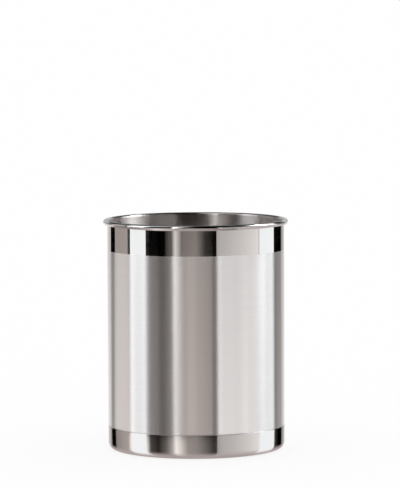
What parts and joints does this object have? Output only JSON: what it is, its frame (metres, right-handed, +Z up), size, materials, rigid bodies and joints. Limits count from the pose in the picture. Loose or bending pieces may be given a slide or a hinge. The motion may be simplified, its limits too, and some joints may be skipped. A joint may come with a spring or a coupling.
{
  "type": "utensil crock",
  "caption": "Open round steel crock for kitchen utensils, with an outward rolled rim, a satin side wall between two polished bands, and a rounded foot on a soft pad.",
  "frame": {"origin": "centre of the pad's flat face under the crock, which it stands on", "axes": "+Z up along the crock's centre line, towards its open mouth"},
  "size_m": [0.1422, 0.1422, 0.1775],
  "materials": {
    "wall_steel": "satin, brushed round the tube, with a mirror polished band and bead at the top",
    "pan_steel": "mirror polished",
    "wire_steel": "drawn wire",
    "pad_rubber": "matt, finely grained"
  },
  "bodies": {
    "root": {"side_wall": "wall_steel", "rim_wire": "wire_steel", "base_pan": "pan_steel", "base_pad": "pad_rubber"}
  },
  "joints": []
}
